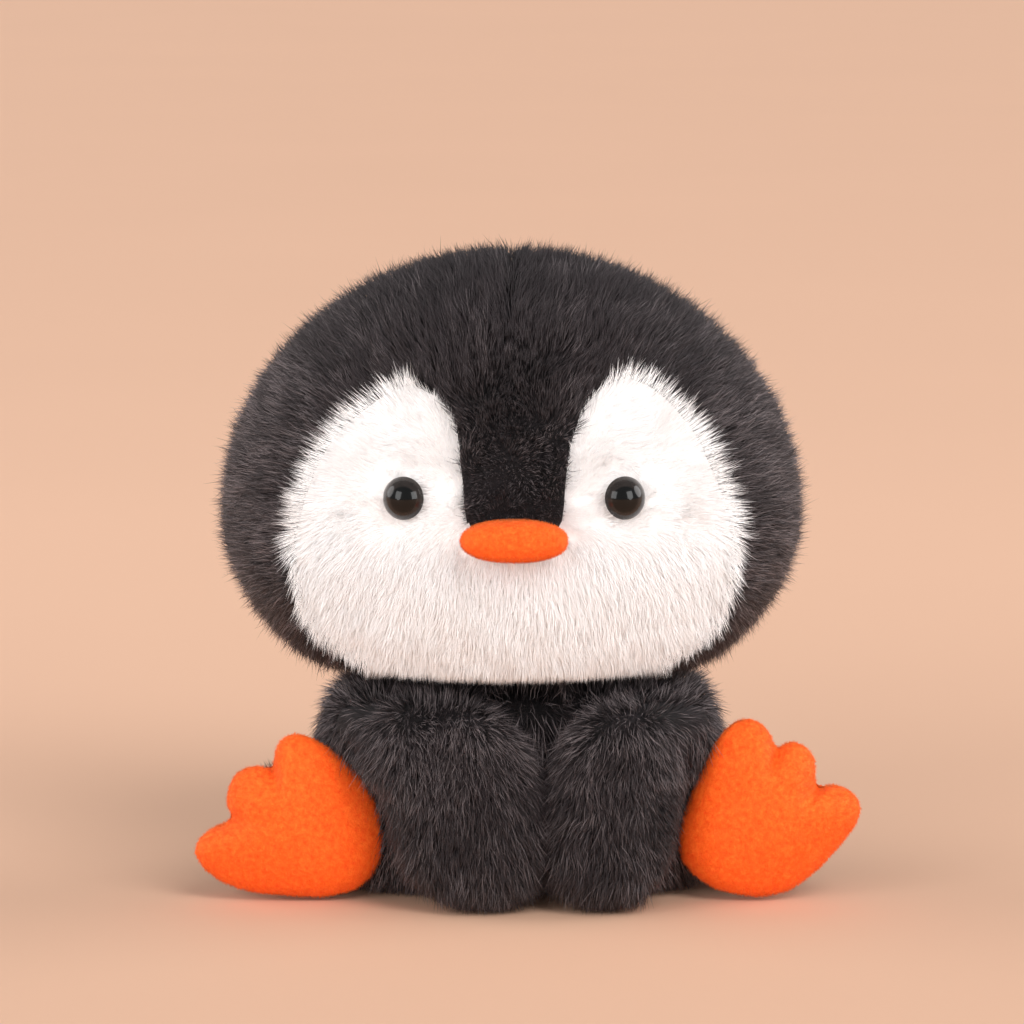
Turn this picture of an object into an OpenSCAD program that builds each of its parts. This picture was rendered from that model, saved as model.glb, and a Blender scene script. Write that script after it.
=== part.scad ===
// Seated plush penguin: sewn skins over stuffing, with safety eyes, a stuffed beak,
// two hanging flippers and two legs that end in three-toed feet.
// The toy faces -Y and +X is its own left. The origin is on the table under the torso.

/* [Head] */
// Half width of the head across its skins
head_rx = 94; // [88:0.5:100]
// Half depth of the head across its skins
head_ry = 74; // [68:0.5:80]
// Height of the dome above the head's widest line
head_up = 85; // [78:0.5:92]
// Depth of the cheeks and chin below the head's widest line
head_down = 67; // [64:0.5:70]
// Height of the head's widest line above the table
head_z = 127; // [125:0.5:130]
// Sideways lean of the head from the torso's centre line
head_x = -3; // [-6:0.5:6]

/* [Face] */
// Distance from the face's centre line to each eye
eye_x = 35.5; // [33:0.5:42]
// Height of the eyes above the table
eye_z = 140; // [137:0.5:146]
// Diameter of a safety eye's dome
eye_d = 14; // [10:0.5:18]
// Width of the beak
beak_w = 35; // [30:0.5:42]
// Height of the beak
beak_h = 14; // [10:0.5:18]
// How far the beak stands out from the face
beak_out = 15; // [10:0.5:20]
// Height of the beak's middle above the table
beak_z = 127.5; // [125:0.5:129]

/* [Body] */
// Half width of the torso across its skins
torso_rx = 66; // [60:0.5:66.5]
// Half depth of the torso across its skins
torso_ry = 40; // [36:0.5:41]
// Height of the torso's neck opening
torso_top = 70; // [66:0.5:70]
// Distance of the torso's middle behind the origin
torso_y = 9; // [9:0.5:12]
// Thickness of the furry skins, backing and flattened pile together
skin_t = 2.4; // [1.5:0.1:3]

/* [Flippers] */
// Share of its full width that a flipper is cut to
flipper_width = 1; // [0.8:0.02:1]
// Thickness of a stuffed flipper, front to back
flipper_t = 22; // [18:0.5:23]

/* [Feet] */
// Share of its full size that a foot is cut to
foot_size = 1; // [0.86:0.02:1]
// Thickness of a stuffed foot, sole to upper
foot_t = 21; // [14:0.5:22]
// Thickness of the short-pile orange skins
velvet_t = 1.2; // [0.8:0.1:2]

/* [Hidden] */
charcoal = [0.17, 0.15, 0.16];
snow = [0.96, 0.93, 0.92];
orange = [1.0, 0.42, 0.09];
fill_white = [0.93, 0.93, 0.90];
eye_black = [0.05, 0.04, 0.04];
washer_grey = [0.85, 0.86, 0.84];

// Slack between a skin and the stuffing that it wraps
slack = 0.2;
// Further room for the flat facets inside the head's and the torso's skins
facet_room = 0.4;

// ---------------------------------------------------------------- solids from grids

function tri(a, b, c) = a == b || b == c || a == c ? [] : [[a, b, c]];
function quad(a, b, c, d) = concat(tri(a, b, c), tri(a, c, d));

// A sewn panel: the solid between an outer and an inner grid of points. With pole
// set, the last row of each grid is one point.
module slab(outer, inner, pole = false) {
  rows = len(outer);
  cols = len(outer[0]);
  function at(layer, i, j) = (layer * rows + i) * cols + (pole && i == rows - 1 ? 0 : j);
  skin_faces = [
    for (i = [0:rows - 2], j = [0:cols - 2]) each concat(
      quad(at(0, i, j), at(0, i + 1, j), at(0, i + 1, j + 1), at(0, i, j + 1)),
      quad(at(1, i, j), at(1, i, j + 1), at(1, i + 1, j + 1), at(1, i + 1, j)))
  ];
  end_walls = [
    for (j = [0:cols - 2]) each concat(
      quad(at(0, 0, j), at(0, 0, j + 1), at(1, 0, j + 1), at(1, 0, j)),
      pole ? [] : quad(at(0, rows - 1, j + 1), at(0, rows - 1, j),
                       at(1, rows - 1, j), at(1, rows - 1, j + 1)))
  ];
  side_walls = [
    for (i = [0:rows - 2]) each concat(
      quad(at(0, i, 0), at(1, i, 0), at(1, i + 1, 0), at(0, i + 1, 0)),
      quad(at(0, i, cols - 1), at(0, i + 1, cols - 1),
           at(1, i + 1, cols - 1), at(1, i, cols - 1)))
  ];
  points = [for (grid = [outer, inner], row = grid, p = row) p];
  polyhedron(points = points, faces = concat(skin_faces, end_walls, side_walls));
}

// A closed solid through a stack of rings, with a flat or pointed end at each side
module loft(rings) {
  n = len(rings[0]);
  last = len(rings) - 1;
  points = [for (ring = rings, p = ring) p];
  walls = [
    for (i = [0:last - 1], j = [0:n - 1]) each
      quad(i * n + j, i * n + (j + 1) % n, (i + 1) * n + (j + 1) % n, (i + 1) * n + j)
  ];
  caps = [
    for (j = [1:n - 2]) each [[0, j + 1, j], [last * n, last * n + j, last * n + j + 1]]
  ];
  polyhedron(points = points, faces = concat(walls, caps));
}

// ---------------------------------------------------------------- stuffed shapes
// A stuffed shape has a flat outline and swells along its local +Z and -Z. Its
// seam is the outline itself. flat sets how squarely the swell starts.

RINGS = [0, 14, 32, 50, 68, 84];
function swell(s, height, flat) = height * pow(1 - pow(s, flat), 1 / flat);
function ring(outline, s, inset, z) =
  [for (p = outline) let (r = norm(p)) concat(p * s * (r - inset) / r, z)];

// One half of the skin, from its seam to its crown
module half_skin(outline, height, t, flat = 2) {
  outer = [for (a = RINGS) let (s = cos(a)) ring(outline, s, 0, swell(s, height, flat))];
  inner = [for (a = RINGS) let (s = cos(a)) ring(outline, s, t, swell(s, height - t, flat))];
  loft(concat([for (i = [len(RINGS) - 1:-1:0]) inner[i]], outer));
}

// The stuffing inside both halves
module filling(outline, up, down, t, flat = 2) {
  inset = t + slack;
  top = [for (a = RINGS) let (s = cos(a)) ring(outline, s, inset, swell(s, up - inset, flat))];
  low = [for (a = RINGS) let (s = cos(a)) ring(outline, s, inset, -swell(s, down - inset, flat))];
  loft(concat([for (i = [len(RINGS) - 1:-1:1]) low[i]], top));
}

// An oval whose corners fill out as power rises above 2
function oval(rx, ry, power = 2, n = 28) = [
  for (i = [0:n - 1])
    let (a = 360 * i / n, c = cos(a), s = sin(a))
    let (r = pow(pow(abs(c) / rx, power) + pow(abs(s) / ry, power), -1 / power))
    [r * c, r * s]
];

// ---------------------------------------------------------------- head
// Heights of the head's rows up to the tops of the white face, then the dome's rows

neck_z = 77;
lobe_top_z = 181;
FACE_ROWS = [neck_z, 84, 93, 102, 112, 121, 127, 132, 141, 150, 160, 169, 176, lobe_top_z];
DOME_STEPS = 7;
ROWS = len(FACE_ROWS) + DOME_STEPS;

// Seam positions on the face, as [height, distance from the head's centre line]
INNER_SEAM = [[121, 0], [127, 12], [132, 16], [150, 18.5], [169, 23], [176, 28], [181, 36]];
OUTER_SEAM = [[77, 38], [84, 55], [93, 66], [102, 71], [119, 73.5],
              [137, 70], [160, 61], [169, 55], [176, 49], [181, 43]];

function lift(z, t) = z > head_z ? (z - head_z) / (head_up - t) : (z - head_z) / (head_down - t);
function row_angle(i, t) =
  let (face = len(FACE_ROWS))
  i < face ? asin(lift(FACE_ROWS[i], t))
  : let (from = asin(lift(lobe_top_z, t))) from + (90 - from) * (i - face + 1) / DOME_STEPS;

// A point on the head, t inside its outer surface, turned from the front by turn degrees
function head_point(i, turn, t) =
  let (e = row_angle(i, t))
  [head_x + (head_rx - t) * cos(e) * sin(turn),
   -(head_ry - t) * cos(e) * cos(turn),
   head_z + (i < len(FACE_ROWS) && e < 0 ? head_down - t : head_up - t) * sin(e)];

// The turn at which a row reaches a distance from the centre line
function turn_at(i, x) = asin(x / (head_rx * cos(row_angle(i, 0))));
function inner_turn(i) = turn_at(i, lookup(FACE_ROWS[i], INNER_SEAM));
function outer_turn(i) = turn_at(i, lookup(FACE_ROWS[i], OUTER_SEAM));
function head_row(i, from, to, cols, t) =
  [for (j = [0:cols]) head_point(i, from + (to - from) * j / cols, t)];

module head_panel(first, last, from, to, cols) {
  outer = [for (i = [first:last]) head_row(i, from[i], to[i], cols, 0)];
  inner = [for (i = [first:last]) head_row(i, from[i], to[i], cols, skin_t)];
  slab(outer, inner, pole = last == ROWS - 1);
}

LOBE_ROW = len(FACE_ROWS) - 1;
GUSSET_ROW = 6;
FRONT = [for (i = [0:ROWS - 1]) 0];
SIDE = [for (i = [0:ROWS - 1]) 90];
REAR = [for (i = [0:ROWS - 1]) 180];
INNER = [for (i = [0:LOBE_ROW]) inner_turn(i)];
OUTER = [for (i = [0:LOBE_ROW]) outer_turn(i)];

// Places something at an eye: local +Z leaves the face
post_r = 2;
face_shift = 1; // the features sit this far to the toy's left of the head's middle
eye_lift = (eye_z - head_z) / head_up;
module at_eye(side) {
  across = (face_shift + side * eye_x) / head_rx;
  eye_y = -head_ry * sqrt(1 - pow(across, 2) - pow(eye_lift, 2));
  translate([head_x + face_shift + side * eye_x, eye_y, eye_z])
    rotate([0, 0, asin(across) * 0.9])
      rotate([84, 0, 0])
        children();
}

module face(side) {
  color(snow) difference() {
    if (side > 0) head_panel(0, LOBE_ROW, INNER, OUTER, 7);
    else head_panel(0, LOBE_ROW, -OUTER, -INNER, 7);
    at_eye(side) translate([0, 0, -12]) cylinder(r = post_r + 0.3, h = 24, $fn = 24);
  }
}
module face_left() { face(1); }
module face_right() { face(-1); }
module forehead_gusset() { color(charcoal) head_panel(GUSSET_ROW, LOBE_ROW, -INNER, INNER, 6); }
module cheek_left() { color(charcoal) head_panel(0, LOBE_ROW, OUTER, SIDE, 4); }
module cheek_right() { color(charcoal) head_panel(0, LOBE_ROW, -SIDE, -OUTER, 4); }
module crown_left() { color(charcoal) head_panel(LOBE_ROW, ROWS - 1, FRONT, SIDE, 8); }
module crown_right() { color(charcoal) head_panel(LOBE_ROW, ROWS - 1, -SIDE, FRONT, 8); }
module head_back_left() { color(charcoal) head_panel(0, ROWS - 1, SIDE, REAR, 8); }
module head_back_right() { color(charcoal) head_panel(0, ROWS - 1, -REAR, -SIDE, 8); }

// The wad of stuffing in the neck is a ball, so the head turns and nods on it
neck_pivot = [head_x, 4, 73.5];
neck_r = 16;
neck_gap = 0.3;
module neck_stuffing() { color(fill_white) translate(neck_pivot) sphere(r = neck_r, $fn = 48); }
module neck_socket() { translate(neck_pivot) sphere(r = neck_r + neck_gap, $fn = 48); }

washer_r = 8;
washer_t = 1.5;
module head_stuffing() {
  t = skin_t + slack + facet_room;
  turns = [for (j = [0:23]) 15 * j];
  color(fill_white) difference() {
    loft([for (i = [0:2:ROWS - 2]) [for (a = turns) head_point(i, a, t)]]);
    neck_socket();
    for (side = [-1, 1]) at_eye(side)
      translate([0, 0, -14]) cylinder(r = washer_r + 0.5, h = 20, $fn = 32);
  }
}

// A safety eye: a domed cap on a post that grips a washer behind the skin
eye_ball = eye_d / 2 * 1.08;
eye_sunk = sqrt(pow(eye_ball, 2) - pow(eye_d / 2, 2));
module eye(side) {
  color(eye_black) at_eye(side) {
    translate([0, 0, 0.6]) intersection() {
      translate([0, 0, -eye_sunk]) sphere(r = eye_ball, $fn = 48);
      cylinder(r = eye_d, h = eye_d, $fn = 48);
    }
    translate([0, 0, -9]) cylinder(r = post_r, h = 10, $fn = 24);
  }
}
module eye_left() { eye(1); }
module eye_right() { eye(-1); }
module eye_washer(side) {
  color(washer_grey) at_eye(side) translate([0, 0, -6]) difference() {
    cylinder(r = washer_r, h = washer_t, $fn = 32);
    translate([0, 0, -1]) cylinder(r = post_r, h = washer_t + 2, $fn = 24);
  }
}
module eye_washer_left() { eye_washer(1); }
module eye_washer_right() { eye_washer(-1); }

beak_outline = oval(beak_w / 2, beak_out / 2, 2.2, 24);
beak_pos = [head_x + face_shift, -head_ry - beak_out / 2 - 0.3, beak_z];
module beak_upper() {
  color(orange) translate(beak_pos) half_skin(beak_outline, beak_h / 2, velvet_t);
}
module beak_lower() {
  color(orange) translate(beak_pos) mirror([0, 0, 1]) half_skin(beak_outline, beak_h / 2, velvet_t);
}
module beak_stuffing() {
  color(fill_white) translate(beak_pos) filling(beak_outline, beak_h / 2, beak_h / 2, velvet_t);
}

// ---------------------------------------------------------------- torso

base_t = 3;
torso_mid = 30;
TORSO_ROWS = [base_t, 7, 15, 30, 45, 54, 60, 65, torso_top];
function torso_fullness(z) =
  let (reach = z > torso_mid ? torso_top + 3.6 - torso_mid : torso_mid)
  pow(1 - pow(abs(z - torso_mid) / reach, 5), 0.2);
function torso_point(z, turn, t) =
  let (k = torso_fullness(z))
  [(torso_rx * k - t) * sin(turn), torso_y - (torso_ry * k - t) * cos(turn), z];

module torso_panel(from, to, cols) {
  function grid(t) = [
    for (z = TORSO_ROWS) [for (j = [0:cols]) torso_point(z, from + (to - from) * j / cols, t)]
  ];
  slab(grid(0), grid(skin_t));
}
module body_front() { color(charcoal) torso_panel(-70, 70, 12); }
module body_back_left() { color(charcoal) torso_panel(70, 180, 9); }
module body_back_right() { color(charcoal) torso_panel(-180, -70, 9); }
module body_base() {
  k = torso_fullness(base_t);
  color(charcoal) translate([0, torso_y, 0])
    linear_extrude(base_t) polygon(oval(torso_rx * k, torso_ry * k, 2, 36));
}
module body_stuffing() {
  rows = [base_t + slack, 7, 15, 30, 45, 54, 60, 65, torso_top - slack];
  t = skin_t + slack + facet_room;
  color(fill_white) difference() {
    loft([for (z = rows) [for (j = [0:23]) torso_point(z, 15 * j, t)]]);
    neck_socket();
  }
}

// ---------------------------------------------------------------- curves

// A point on the smooth line through a, b, c and d, at share t of the way from b to c
function between(a, b, c, d, t) =
  b + 0.5 * ((c - a) * t + (2 * a - 5 * b + 4 * c - d) * t * t
    + (3 * b - 3 * c + d - a) * t * t * t);
function closed_curve(points, steps) =
  let (n = len(points))
  [for (i = [0:n - 1], s = [0:steps - 1])
    between(points[(i + n - 1) % n], points[i], points[(i + 1) % n], points[(i + 2) % n],
      s / steps)];
// An open curve, without its last point
function open_curve(points, steps) =
  let (n = len(points) - 1)
  [for (i = [0:n - 1], s = [0:steps - 1])
    between(points[max(i - 1, 0)], points[i], points[i + 1], points[min(i + 2, n)],
      s / steps)];

// ---------------------------------------------------------------- flippers

flipper_y = -43.5;
// The cut of each flipper as [across, height], clockwise from its tip as seen from the
// front. The toy's right one hangs wider and leans further in.
FLIPPERS = [
  [[-2, 3.5], [-14, 1.2], [-28, 7], [-38, 18], [-44, 33], [-49, 43], [-57, 52], [-63, 59],
   [-60, 66], [-47, 69], [-24, 69], [-8, 64.5], [2, 51], [8, 34], [7, 16]],
  [[9, 23], [10, 38], [14, 52], [22, 64], [34, 69], [49, 69], [61, 66], [64, 60],
   [60, 52], [55.5, 43], [52, 33], [49.5, 22], [45.5, 11], [38, 4], [27, 1.2], [13.5, 8]]
];
FLIPPER_MIDS = [[-20, 35], [32, 35]];
flipper_lean = 9;
function flipper_outline(side) =
  let (i = side > 0 ? 1 : 0, cut = closed_curve(FLIPPERS[i], 2), middle = FLIPPER_MIDS[i])
  [for (j = [len(cut) - 1:-1:0])
    [(cut[j][0] - middle[0]) * flipper_width, cut[j][1] - middle[1]]];
// Local +Z of a flipper's skins is the toy's front; its top leans back against the chest
module at_flipper(side) {
  middle = FLIPPER_MIDS[side > 0 ? 1 : 0];
  translate([middle[0], flipper_y, middle[1]]) rotate([90 - flipper_lean, 0, 0]) children();
}
module flipper_front(side) {
  color(charcoal) at_flipper(side) half_skin(flipper_outline(side), flipper_t / 2, skin_t, 2.4);
}
module flipper_back(side) {
  color(charcoal) at_flipper(side) mirror([0, 0, 1])
    half_skin(flipper_outline(side), flipper_t / 2, skin_t, 2.4);
}
module flipper_stuffing(side) {
  color(fill_white) at_flipper(side)
    filling(flipper_outline(side), flipper_t / 2, flipper_t / 2, skin_t, 2.4);
}
module flipper_front_left() { flipper_front(1); }
module flipper_back_left() { flipper_back(1); }
module flipper_stuffing_left() { flipper_stuffing(1); }
module flipper_front_right() { flipper_front(-1); }
module flipper_back_right() { flipper_back(-1); }
module flipper_stuffing_right() { flipper_stuffing(-1); }

// ---------------------------------------------------------------- legs and feet

leg_middle = [81, 0, 20.5];
leg_shift = 1;
leg_outline = oval(13, 13, 3, 24);
leg_up = 18;
leg_down = 20;
module at_leg(side) {
  translate([leg_shift + side * leg_middle[0], leg_middle[1], leg_middle[2]]) children();
}
module leg_top(side) { color(charcoal) at_leg(side) half_skin(leg_outline, leg_up, skin_t, 2.6); }
module leg_under(side) {
  color(charcoal) at_leg(side) mirror([0, 0, 1]) half_skin(leg_outline, leg_down, skin_t, 2.6);
}
module leg_stuffing(side) {
  color(fill_white) at_leg(side) filling(leg_outline, leg_up, leg_down, skin_t, 2.6);
}

// The cut of each foot as [across, height], in three curves that run clockwise from the
// heel and meet at the sharp notches on both sides of the middle toe. The toy's left
// foot is rolled more upright.
FEET = [
  [[[-66, 0.4], [-86, 1.3], [-101, 6], [-109, 15], [-104.5, 22.5], [-96, 27.5]],
   [[-96, 27.5], [-98.7, 34.5], [-95.5, 43.5], [-88, 46.6], [-81.5, 44]],
   [[-81.5, 44], [-80, 53], [-73.5, 57.6], [-62, 52], [-51, 41.5], [-44.5, 27],
    [-45, 13.5], [-53, 3.5], [-66, 0.4]]],
  [[[78, 0.4], [64, 3.2], [52.5, 13], [52.5, 27], [59, 44], [66, 57.6], [74, 62.5],
    [81.5, 58], [84, 49]],
   [[84, 49], [87.5, 54], [92.5, 54.6], [98, 49.5], [98.5, 38]],
   [[98.5, 38], [107, 38.4], [113.5, 33], [112.5, 25], [100.5, 10.8], [89, 2.3],
    [78, 0.4]]]
];
FOOT_MIDS = [[-76, 26], [82, 30]];
foot_y = -28;
function foot_outline(side) =
  let (i = side > 0 ? 1 : 0, middle = FOOT_MIDS[i])
  let (cut = [for (curve = FEET[i]) each open_curve(curve, 2)])
  [for (j = [len(cut) - 1:-1:0]) foot_size * (cut[j] - middle)];
module at_foot(side) {
  middle = FOOT_MIDS[side > 0 ? 1 : 0];
  translate([middle[0], foot_y, middle[1]]) rotate([90, 0, 0]) children();
}
module foot_sole(side) { color(orange) at_foot(side) half_skin(foot_outline(side), foot_t / 2, velvet_t); }
module foot_upper(side) {
  color(orange) at_foot(side) mirror([0, 0, 1]) half_skin(foot_outline(side), foot_t / 2, velvet_t);
}
module foot_stuffing(side) {
  color(fill_white) at_foot(side) filling(foot_outline(side), foot_t / 2, foot_t / 2, velvet_t);
}
module leg_top_left() { leg_top(1); }
module leg_under_left() { leg_under(1); }
module leg_stuffing_left() { leg_stuffing(1); }
module foot_sole_left() { foot_sole(1); }
module foot_upper_left() { foot_upper(1); }
module foot_stuffing_left() { foot_stuffing(1); }
module leg_top_right() { leg_top(-1); }
module leg_under_right() { leg_under(-1); }
module leg_stuffing_right() { leg_stuffing(-1); }
module foot_sole_right() { foot_sole(-1); }
module foot_upper_right() { foot_upper(-1); }
module foot_stuffing_right() { foot_stuffing(-1); }

face_left();
face_right();
forehead_gusset();
cheek_left();
cheek_right();
crown_left();
crown_right();
head_back_left();
head_back_right();
head_stuffing();
eye_left();
eye_right();
eye_washer_left();
eye_washer_right();
beak_upper();
beak_lower();
beak_stuffing();
neck_stuffing();
body_front();
body_back_left();
body_back_right();
body_base();
body_stuffing();
flipper_front_left();
flipper_back_left();
flipper_stuffing_left();
flipper_front_right();
flipper_back_right();
flipper_stuffing_right();
leg_top_left();
leg_under_left();
leg_stuffing_left();
foot_sole_left();
foot_upper_left();
foot_stuffing_left();
leg_top_right();
leg_under_right();
leg_stuffing_right();
foot_sole_right();
foot_upper_right();
foot_stuffing_right();
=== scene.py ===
"""A seated plush penguin, sewn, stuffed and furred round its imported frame.

The toy faces -Y, and +X is its own left. The furry skins carry their pile as real
strands: each strand is a slim closed spindle that leaves the skin, bends over and
ends in a point, and the way it lies follows the nap of the cloth. The orange velvet's
strands are short closed spikes.
"""

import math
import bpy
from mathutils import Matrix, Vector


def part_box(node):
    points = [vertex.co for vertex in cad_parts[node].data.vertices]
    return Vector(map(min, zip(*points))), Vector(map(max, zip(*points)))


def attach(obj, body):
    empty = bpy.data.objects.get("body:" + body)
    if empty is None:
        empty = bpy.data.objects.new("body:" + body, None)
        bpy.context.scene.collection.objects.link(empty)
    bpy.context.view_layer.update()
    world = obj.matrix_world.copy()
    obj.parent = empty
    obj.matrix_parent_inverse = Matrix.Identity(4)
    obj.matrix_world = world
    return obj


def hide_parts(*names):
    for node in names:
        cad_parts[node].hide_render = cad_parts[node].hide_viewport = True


bl_info = {
    "name": "Plush Penguin",
    "version": (1, 0, 0),
    "blender": (4, 5, 0),
    "location": "3D View > Sidebar > Plush",
    "description": "Sews, stuffs and furs a seated plush penguin round its packed frame",
    "category": "Object",
}

import bmesh
import bpy
import numpy as np
from bpy.props import FloatProperty, FloatVectorProperty, IntProperty, PointerProperty
from mathutils import Vector, kdtree

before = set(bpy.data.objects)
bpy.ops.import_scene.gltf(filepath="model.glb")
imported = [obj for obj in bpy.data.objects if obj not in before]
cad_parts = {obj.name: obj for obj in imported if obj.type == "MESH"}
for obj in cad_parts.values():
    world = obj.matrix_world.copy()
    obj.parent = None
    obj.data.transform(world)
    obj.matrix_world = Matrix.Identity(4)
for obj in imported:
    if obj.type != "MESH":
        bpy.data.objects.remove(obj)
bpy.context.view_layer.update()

MM = 0.001
SIDES = {"left": 1, "right": -1}
STRAND_MAP = "OFBake"  # a strand's own map: across it is its shade, up it is root to tip


# ------------------------------------------------------------------ settings


def length_property(name, description, millimetres):
    return FloatProperty(
        name=name, description=description, default=millimetres * MM, min=0, unit="LENGTH",
    )


def density_property(name, description, default, most):
    return FloatProperty(
        name=name, description=description, default=default, min=0.2, max=most,
    )


def colour_property(name, description, default):
    return FloatVectorProperty(
        name=name, description=description, default=default, subtype="COLOR", min=0, max=1,
    )


class PenguinShape(bpy.types.PropertyGroup):
    pressure: FloatProperty(
        name="Stuffing pressure",
        description="How hard the filling presses the velvet skins out",
        default=4.0, min=0.0, max=10.0,
    )
    eye_dimple: length_property(
        "Eye dimple", "How far the thread behind each eye pulls the face in", 1.0)
    seam_depth: length_property(
        "Seam depth", "Depth of the sewn seam down the middle of the crown", 0.4)
    skin_thickness: length_property(
        "Backing", "Thickness of the knitted backing that the pile grows from", 0.8)


class PenguinPile(bpy.types.PropertyGroup):
    hood_length: length_property(
        "Black pile on the head", "Length of the black strands on the head", 8.8)
    face_length: length_property(
        "White pile", "Length of the white strands on the face", 7.0)
    body_length: length_property(
        "Black pile on the body", "Length of the strands below the neck", 9.0)
    strand_width: length_property(
        "Strand width", "Widest part of a furry strand", 0.19)
    velvet_length: length_property(
        "Velvet pile", "Length of the short orange pile", 0.9)
    velvet_width: length_property(
        "Velvet strand width", "Width of a velvet strand at its root", 0.14)
    front_density: density_property(
        "Front density", "Strands on each square millimetre in front", 3.75, 6)
    face_density: density_property(
        "White density", "White strands on each square millimetre", 4.15, 8)
    back_density: density_property(
        "Back density", "Strands on each square millimetre behind", 1.0, 6)
    velvet_density: density_property(
        "Velvet density", "Short strands on each square millimetre of velvet", 8.0, 12)
    seed: IntProperty(
        name="Seed", description="Starts every random draw", default=7, min=0,
    )


class PenguinColours(bpy.types.PropertyGroup):
    hood_root: colour_property(
        "Black pile root", "Colour of a black strand at the skin", (0.002, 0.0016, 0.0018))
    hood_tip: colour_property(
        "Black pile tip", "Colour of a black strand at its tip", (0.048, 0.036, 0.039))
    face_root: colour_property(
        "White pile root", "Colour of a white strand at the skin", (0.95, 0.92, 0.91))
    face_tip: colour_property(
        "White pile tip", "Colour of a white strand at its tip", (0.98, 0.96, 0.955))
    velvet_deep: colour_property(
        "Velvet shade", "Colour of the orange velvet where its pile parts", (0.90, 0.075, 0.003))
    velvet_light: colour_property(
        "Velvet light", "Colour of the orange velvet where its pile catches light",
        (1.0, 0.165, 0.016))
    floor: colour_property("Floor", "Colour of the floor", (0.835, 0.515, 0.355))


def shape():
    return bpy.context.scene.penguin_shape


def pile():
    return bpy.context.scene.penguin_pile


def colours():
    return bpy.context.scene.penguin_colours


# ------------------------------------------------------------------ places in the frame


def span(*nodes):
    """Lowest and highest corner of several CAD nodes, as arrays."""
    corners = [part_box(node) for node in nodes]
    low = np.min([list(c[0]) for c in corners], axis=0)
    high = np.max([list(c[1]) for c in corners], axis=0)
    return low, high


HEAD_LOW, HEAD_HIGH = span("head_back_left", "head_back_right", "face_left", "face_right")
HEAD_WAIST = 50 / 135  # the head's widest line, as a share of its height above the neck
HEAD_DROP = 67 * MM  # from the widest line down to where the cheeks would close
HEAD_MIDDLE = np.array([
    (HEAD_LOW[0] + HEAD_HIGH[0]) / 2,
    (HEAD_LOW[1] + HEAD_HIGH[1]) / 2,
    HEAD_LOW[2] + HEAD_WAIST * (HEAD_HIGH[2] - HEAD_LOW[2]),
])
HEAD_RADII = np.array([
    (HEAD_HIGH[0] - HEAD_LOW[0]) / 2,
    (HEAD_HIGH[1] - HEAD_LOW[1]) / 2,
    HEAD_HIGH[2] - HEAD_MIDDLE[2],
])
NECK_Z = HEAD_LOW[2]
EYES = {
    side: (np.array(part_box("eye_" + side)[0]) + np.array(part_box("eye_" + side)[1])) / 2
    for side in SIDES
}
BEAK_LOW, BEAK_HIGH = span("beak_upper", "beak_lower")
BEAK_MIDDLE = (BEAK_LOW + BEAK_HIGH) / 2
FACE_X = (EYES["left"][0] + EYES["right"][0]) / 2
TORSO_LOW, TORSO_HIGH = span("body_front", "body_back_left", "body_back_right", "body_base")
TORSO_MIDDLE = (TORSO_LOW + TORSO_HIGH) / 2

# The seam of the white face as seen from the front: how far it lies from the face's
# centre line on its inner and outer side, at heights above the table, in millimetres
LOBE_EDGES = np.array([
    (76, 0, 34), (80, 0, 44), (84, 0, 52), (90, 0, 59.5), (97, 0, 65.5), (104, 0, 68.5),
    (112, 0, 70.5), (120, 0, 71), (124, 0, 70.8), (127, 12, 70.4), (131, 15, 69.6), (137, 16, 68),
    (146, 16.5, 64.5), (156, 18, 60), (163, 20, 55.5), (169, 23, 50), (173, 27, 45.5),
    (175.5, 31.5, 41), (177, 36, 36.4),
])


def smooth_step(value, start, end):
    t = np.clip((value - start) / (end - start), 0, 1)
    return t * t * (3 - 2 * t)


def face_depth(points):
    """How far inside the white face's seam a point lies, in metres; negative is outside."""
    across = np.abs(points[:, 0] - FACE_X) / MM
    height = points[:, 2] / MM
    uneven = smooth_step(height, 150, 174) * (points[:, 0] < FACE_X)
    across = across + 3 * uneven
    height = height + 2 * uneven
    inner = np.interp(height, LOBE_EDGES[:, 0], LOBE_EDGES[:, 1])
    outer = np.interp(height, LOBE_EDGES[:, 0], LOBE_EDGES[:, 2])
    inside = np.minimum(outer - across, np.where(inner > 0, across - inner, 99))
    inside = np.minimum(inside, 1.2 * (LOBE_EDGES[-1, 0] - height))
    return np.where(points[:, 1] < HEAD_MIDDLE[1], inside, -99) * MM


# ------------------------------------------------------------------ mesh helpers


def unit(vectors):
    return vectors / np.maximum(np.linalg.norm(vectors, axis=-1, keepdims=True), 1e-9)


def deselect_all():
    for thing in bpy.context.selected_objects:
        thing.select_set(False)


def link(name, data):
    """A new object in the scene."""
    made = bpy.data.objects.new(name, data)
    bpy.context.scene.collection.objects.link(made)
    return made


def activate(piece):
    deselect_all()
    piece.select_set(True)
    bpy.context.view_layer.objects.active = piece


def coordinates(mesh):
    flat = np.empty(len(mesh.vertices) * 3)
    mesh.vertices.foreach_get("co", flat)
    return flat.reshape(-1, 3)


def set_coordinates(mesh, points):
    mesh.vertices.foreach_set("co", np.asarray(points, float).ravel())
    mesh.update()


def apply_modifier(piece, kind, **settings):
    activate(piece)
    modifier = piece.modifiers.new(kind.title(), kind)
    for key, value in settings.items():
        setattr(modifier, key, value)
    bpy.ops.object.modifier_apply(modifier=modifier.name)


def round_form(name, form, subdivisions=5):
    """A closed ball whose every point is moved to where form puts it."""
    deselect_all()
    bpy.ops.mesh.primitive_ico_sphere_add(subdivisions=subdivisions, radius=1)
    piece = bpy.context.object
    piece.name = piece.data.name = name
    set_coordinates(piece.data, form(unit(coordinates(piece.data))))
    smooth(piece)
    return piece


def smooth(piece):
    activate(piece)
    bpy.ops.object.shade_smooth()


def paint(piece, material):
    piece.data.materials.clear()
    piece.data.materials.append(material)


SWELL_FRAMES = 20  # how long the cloth solver runs


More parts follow.
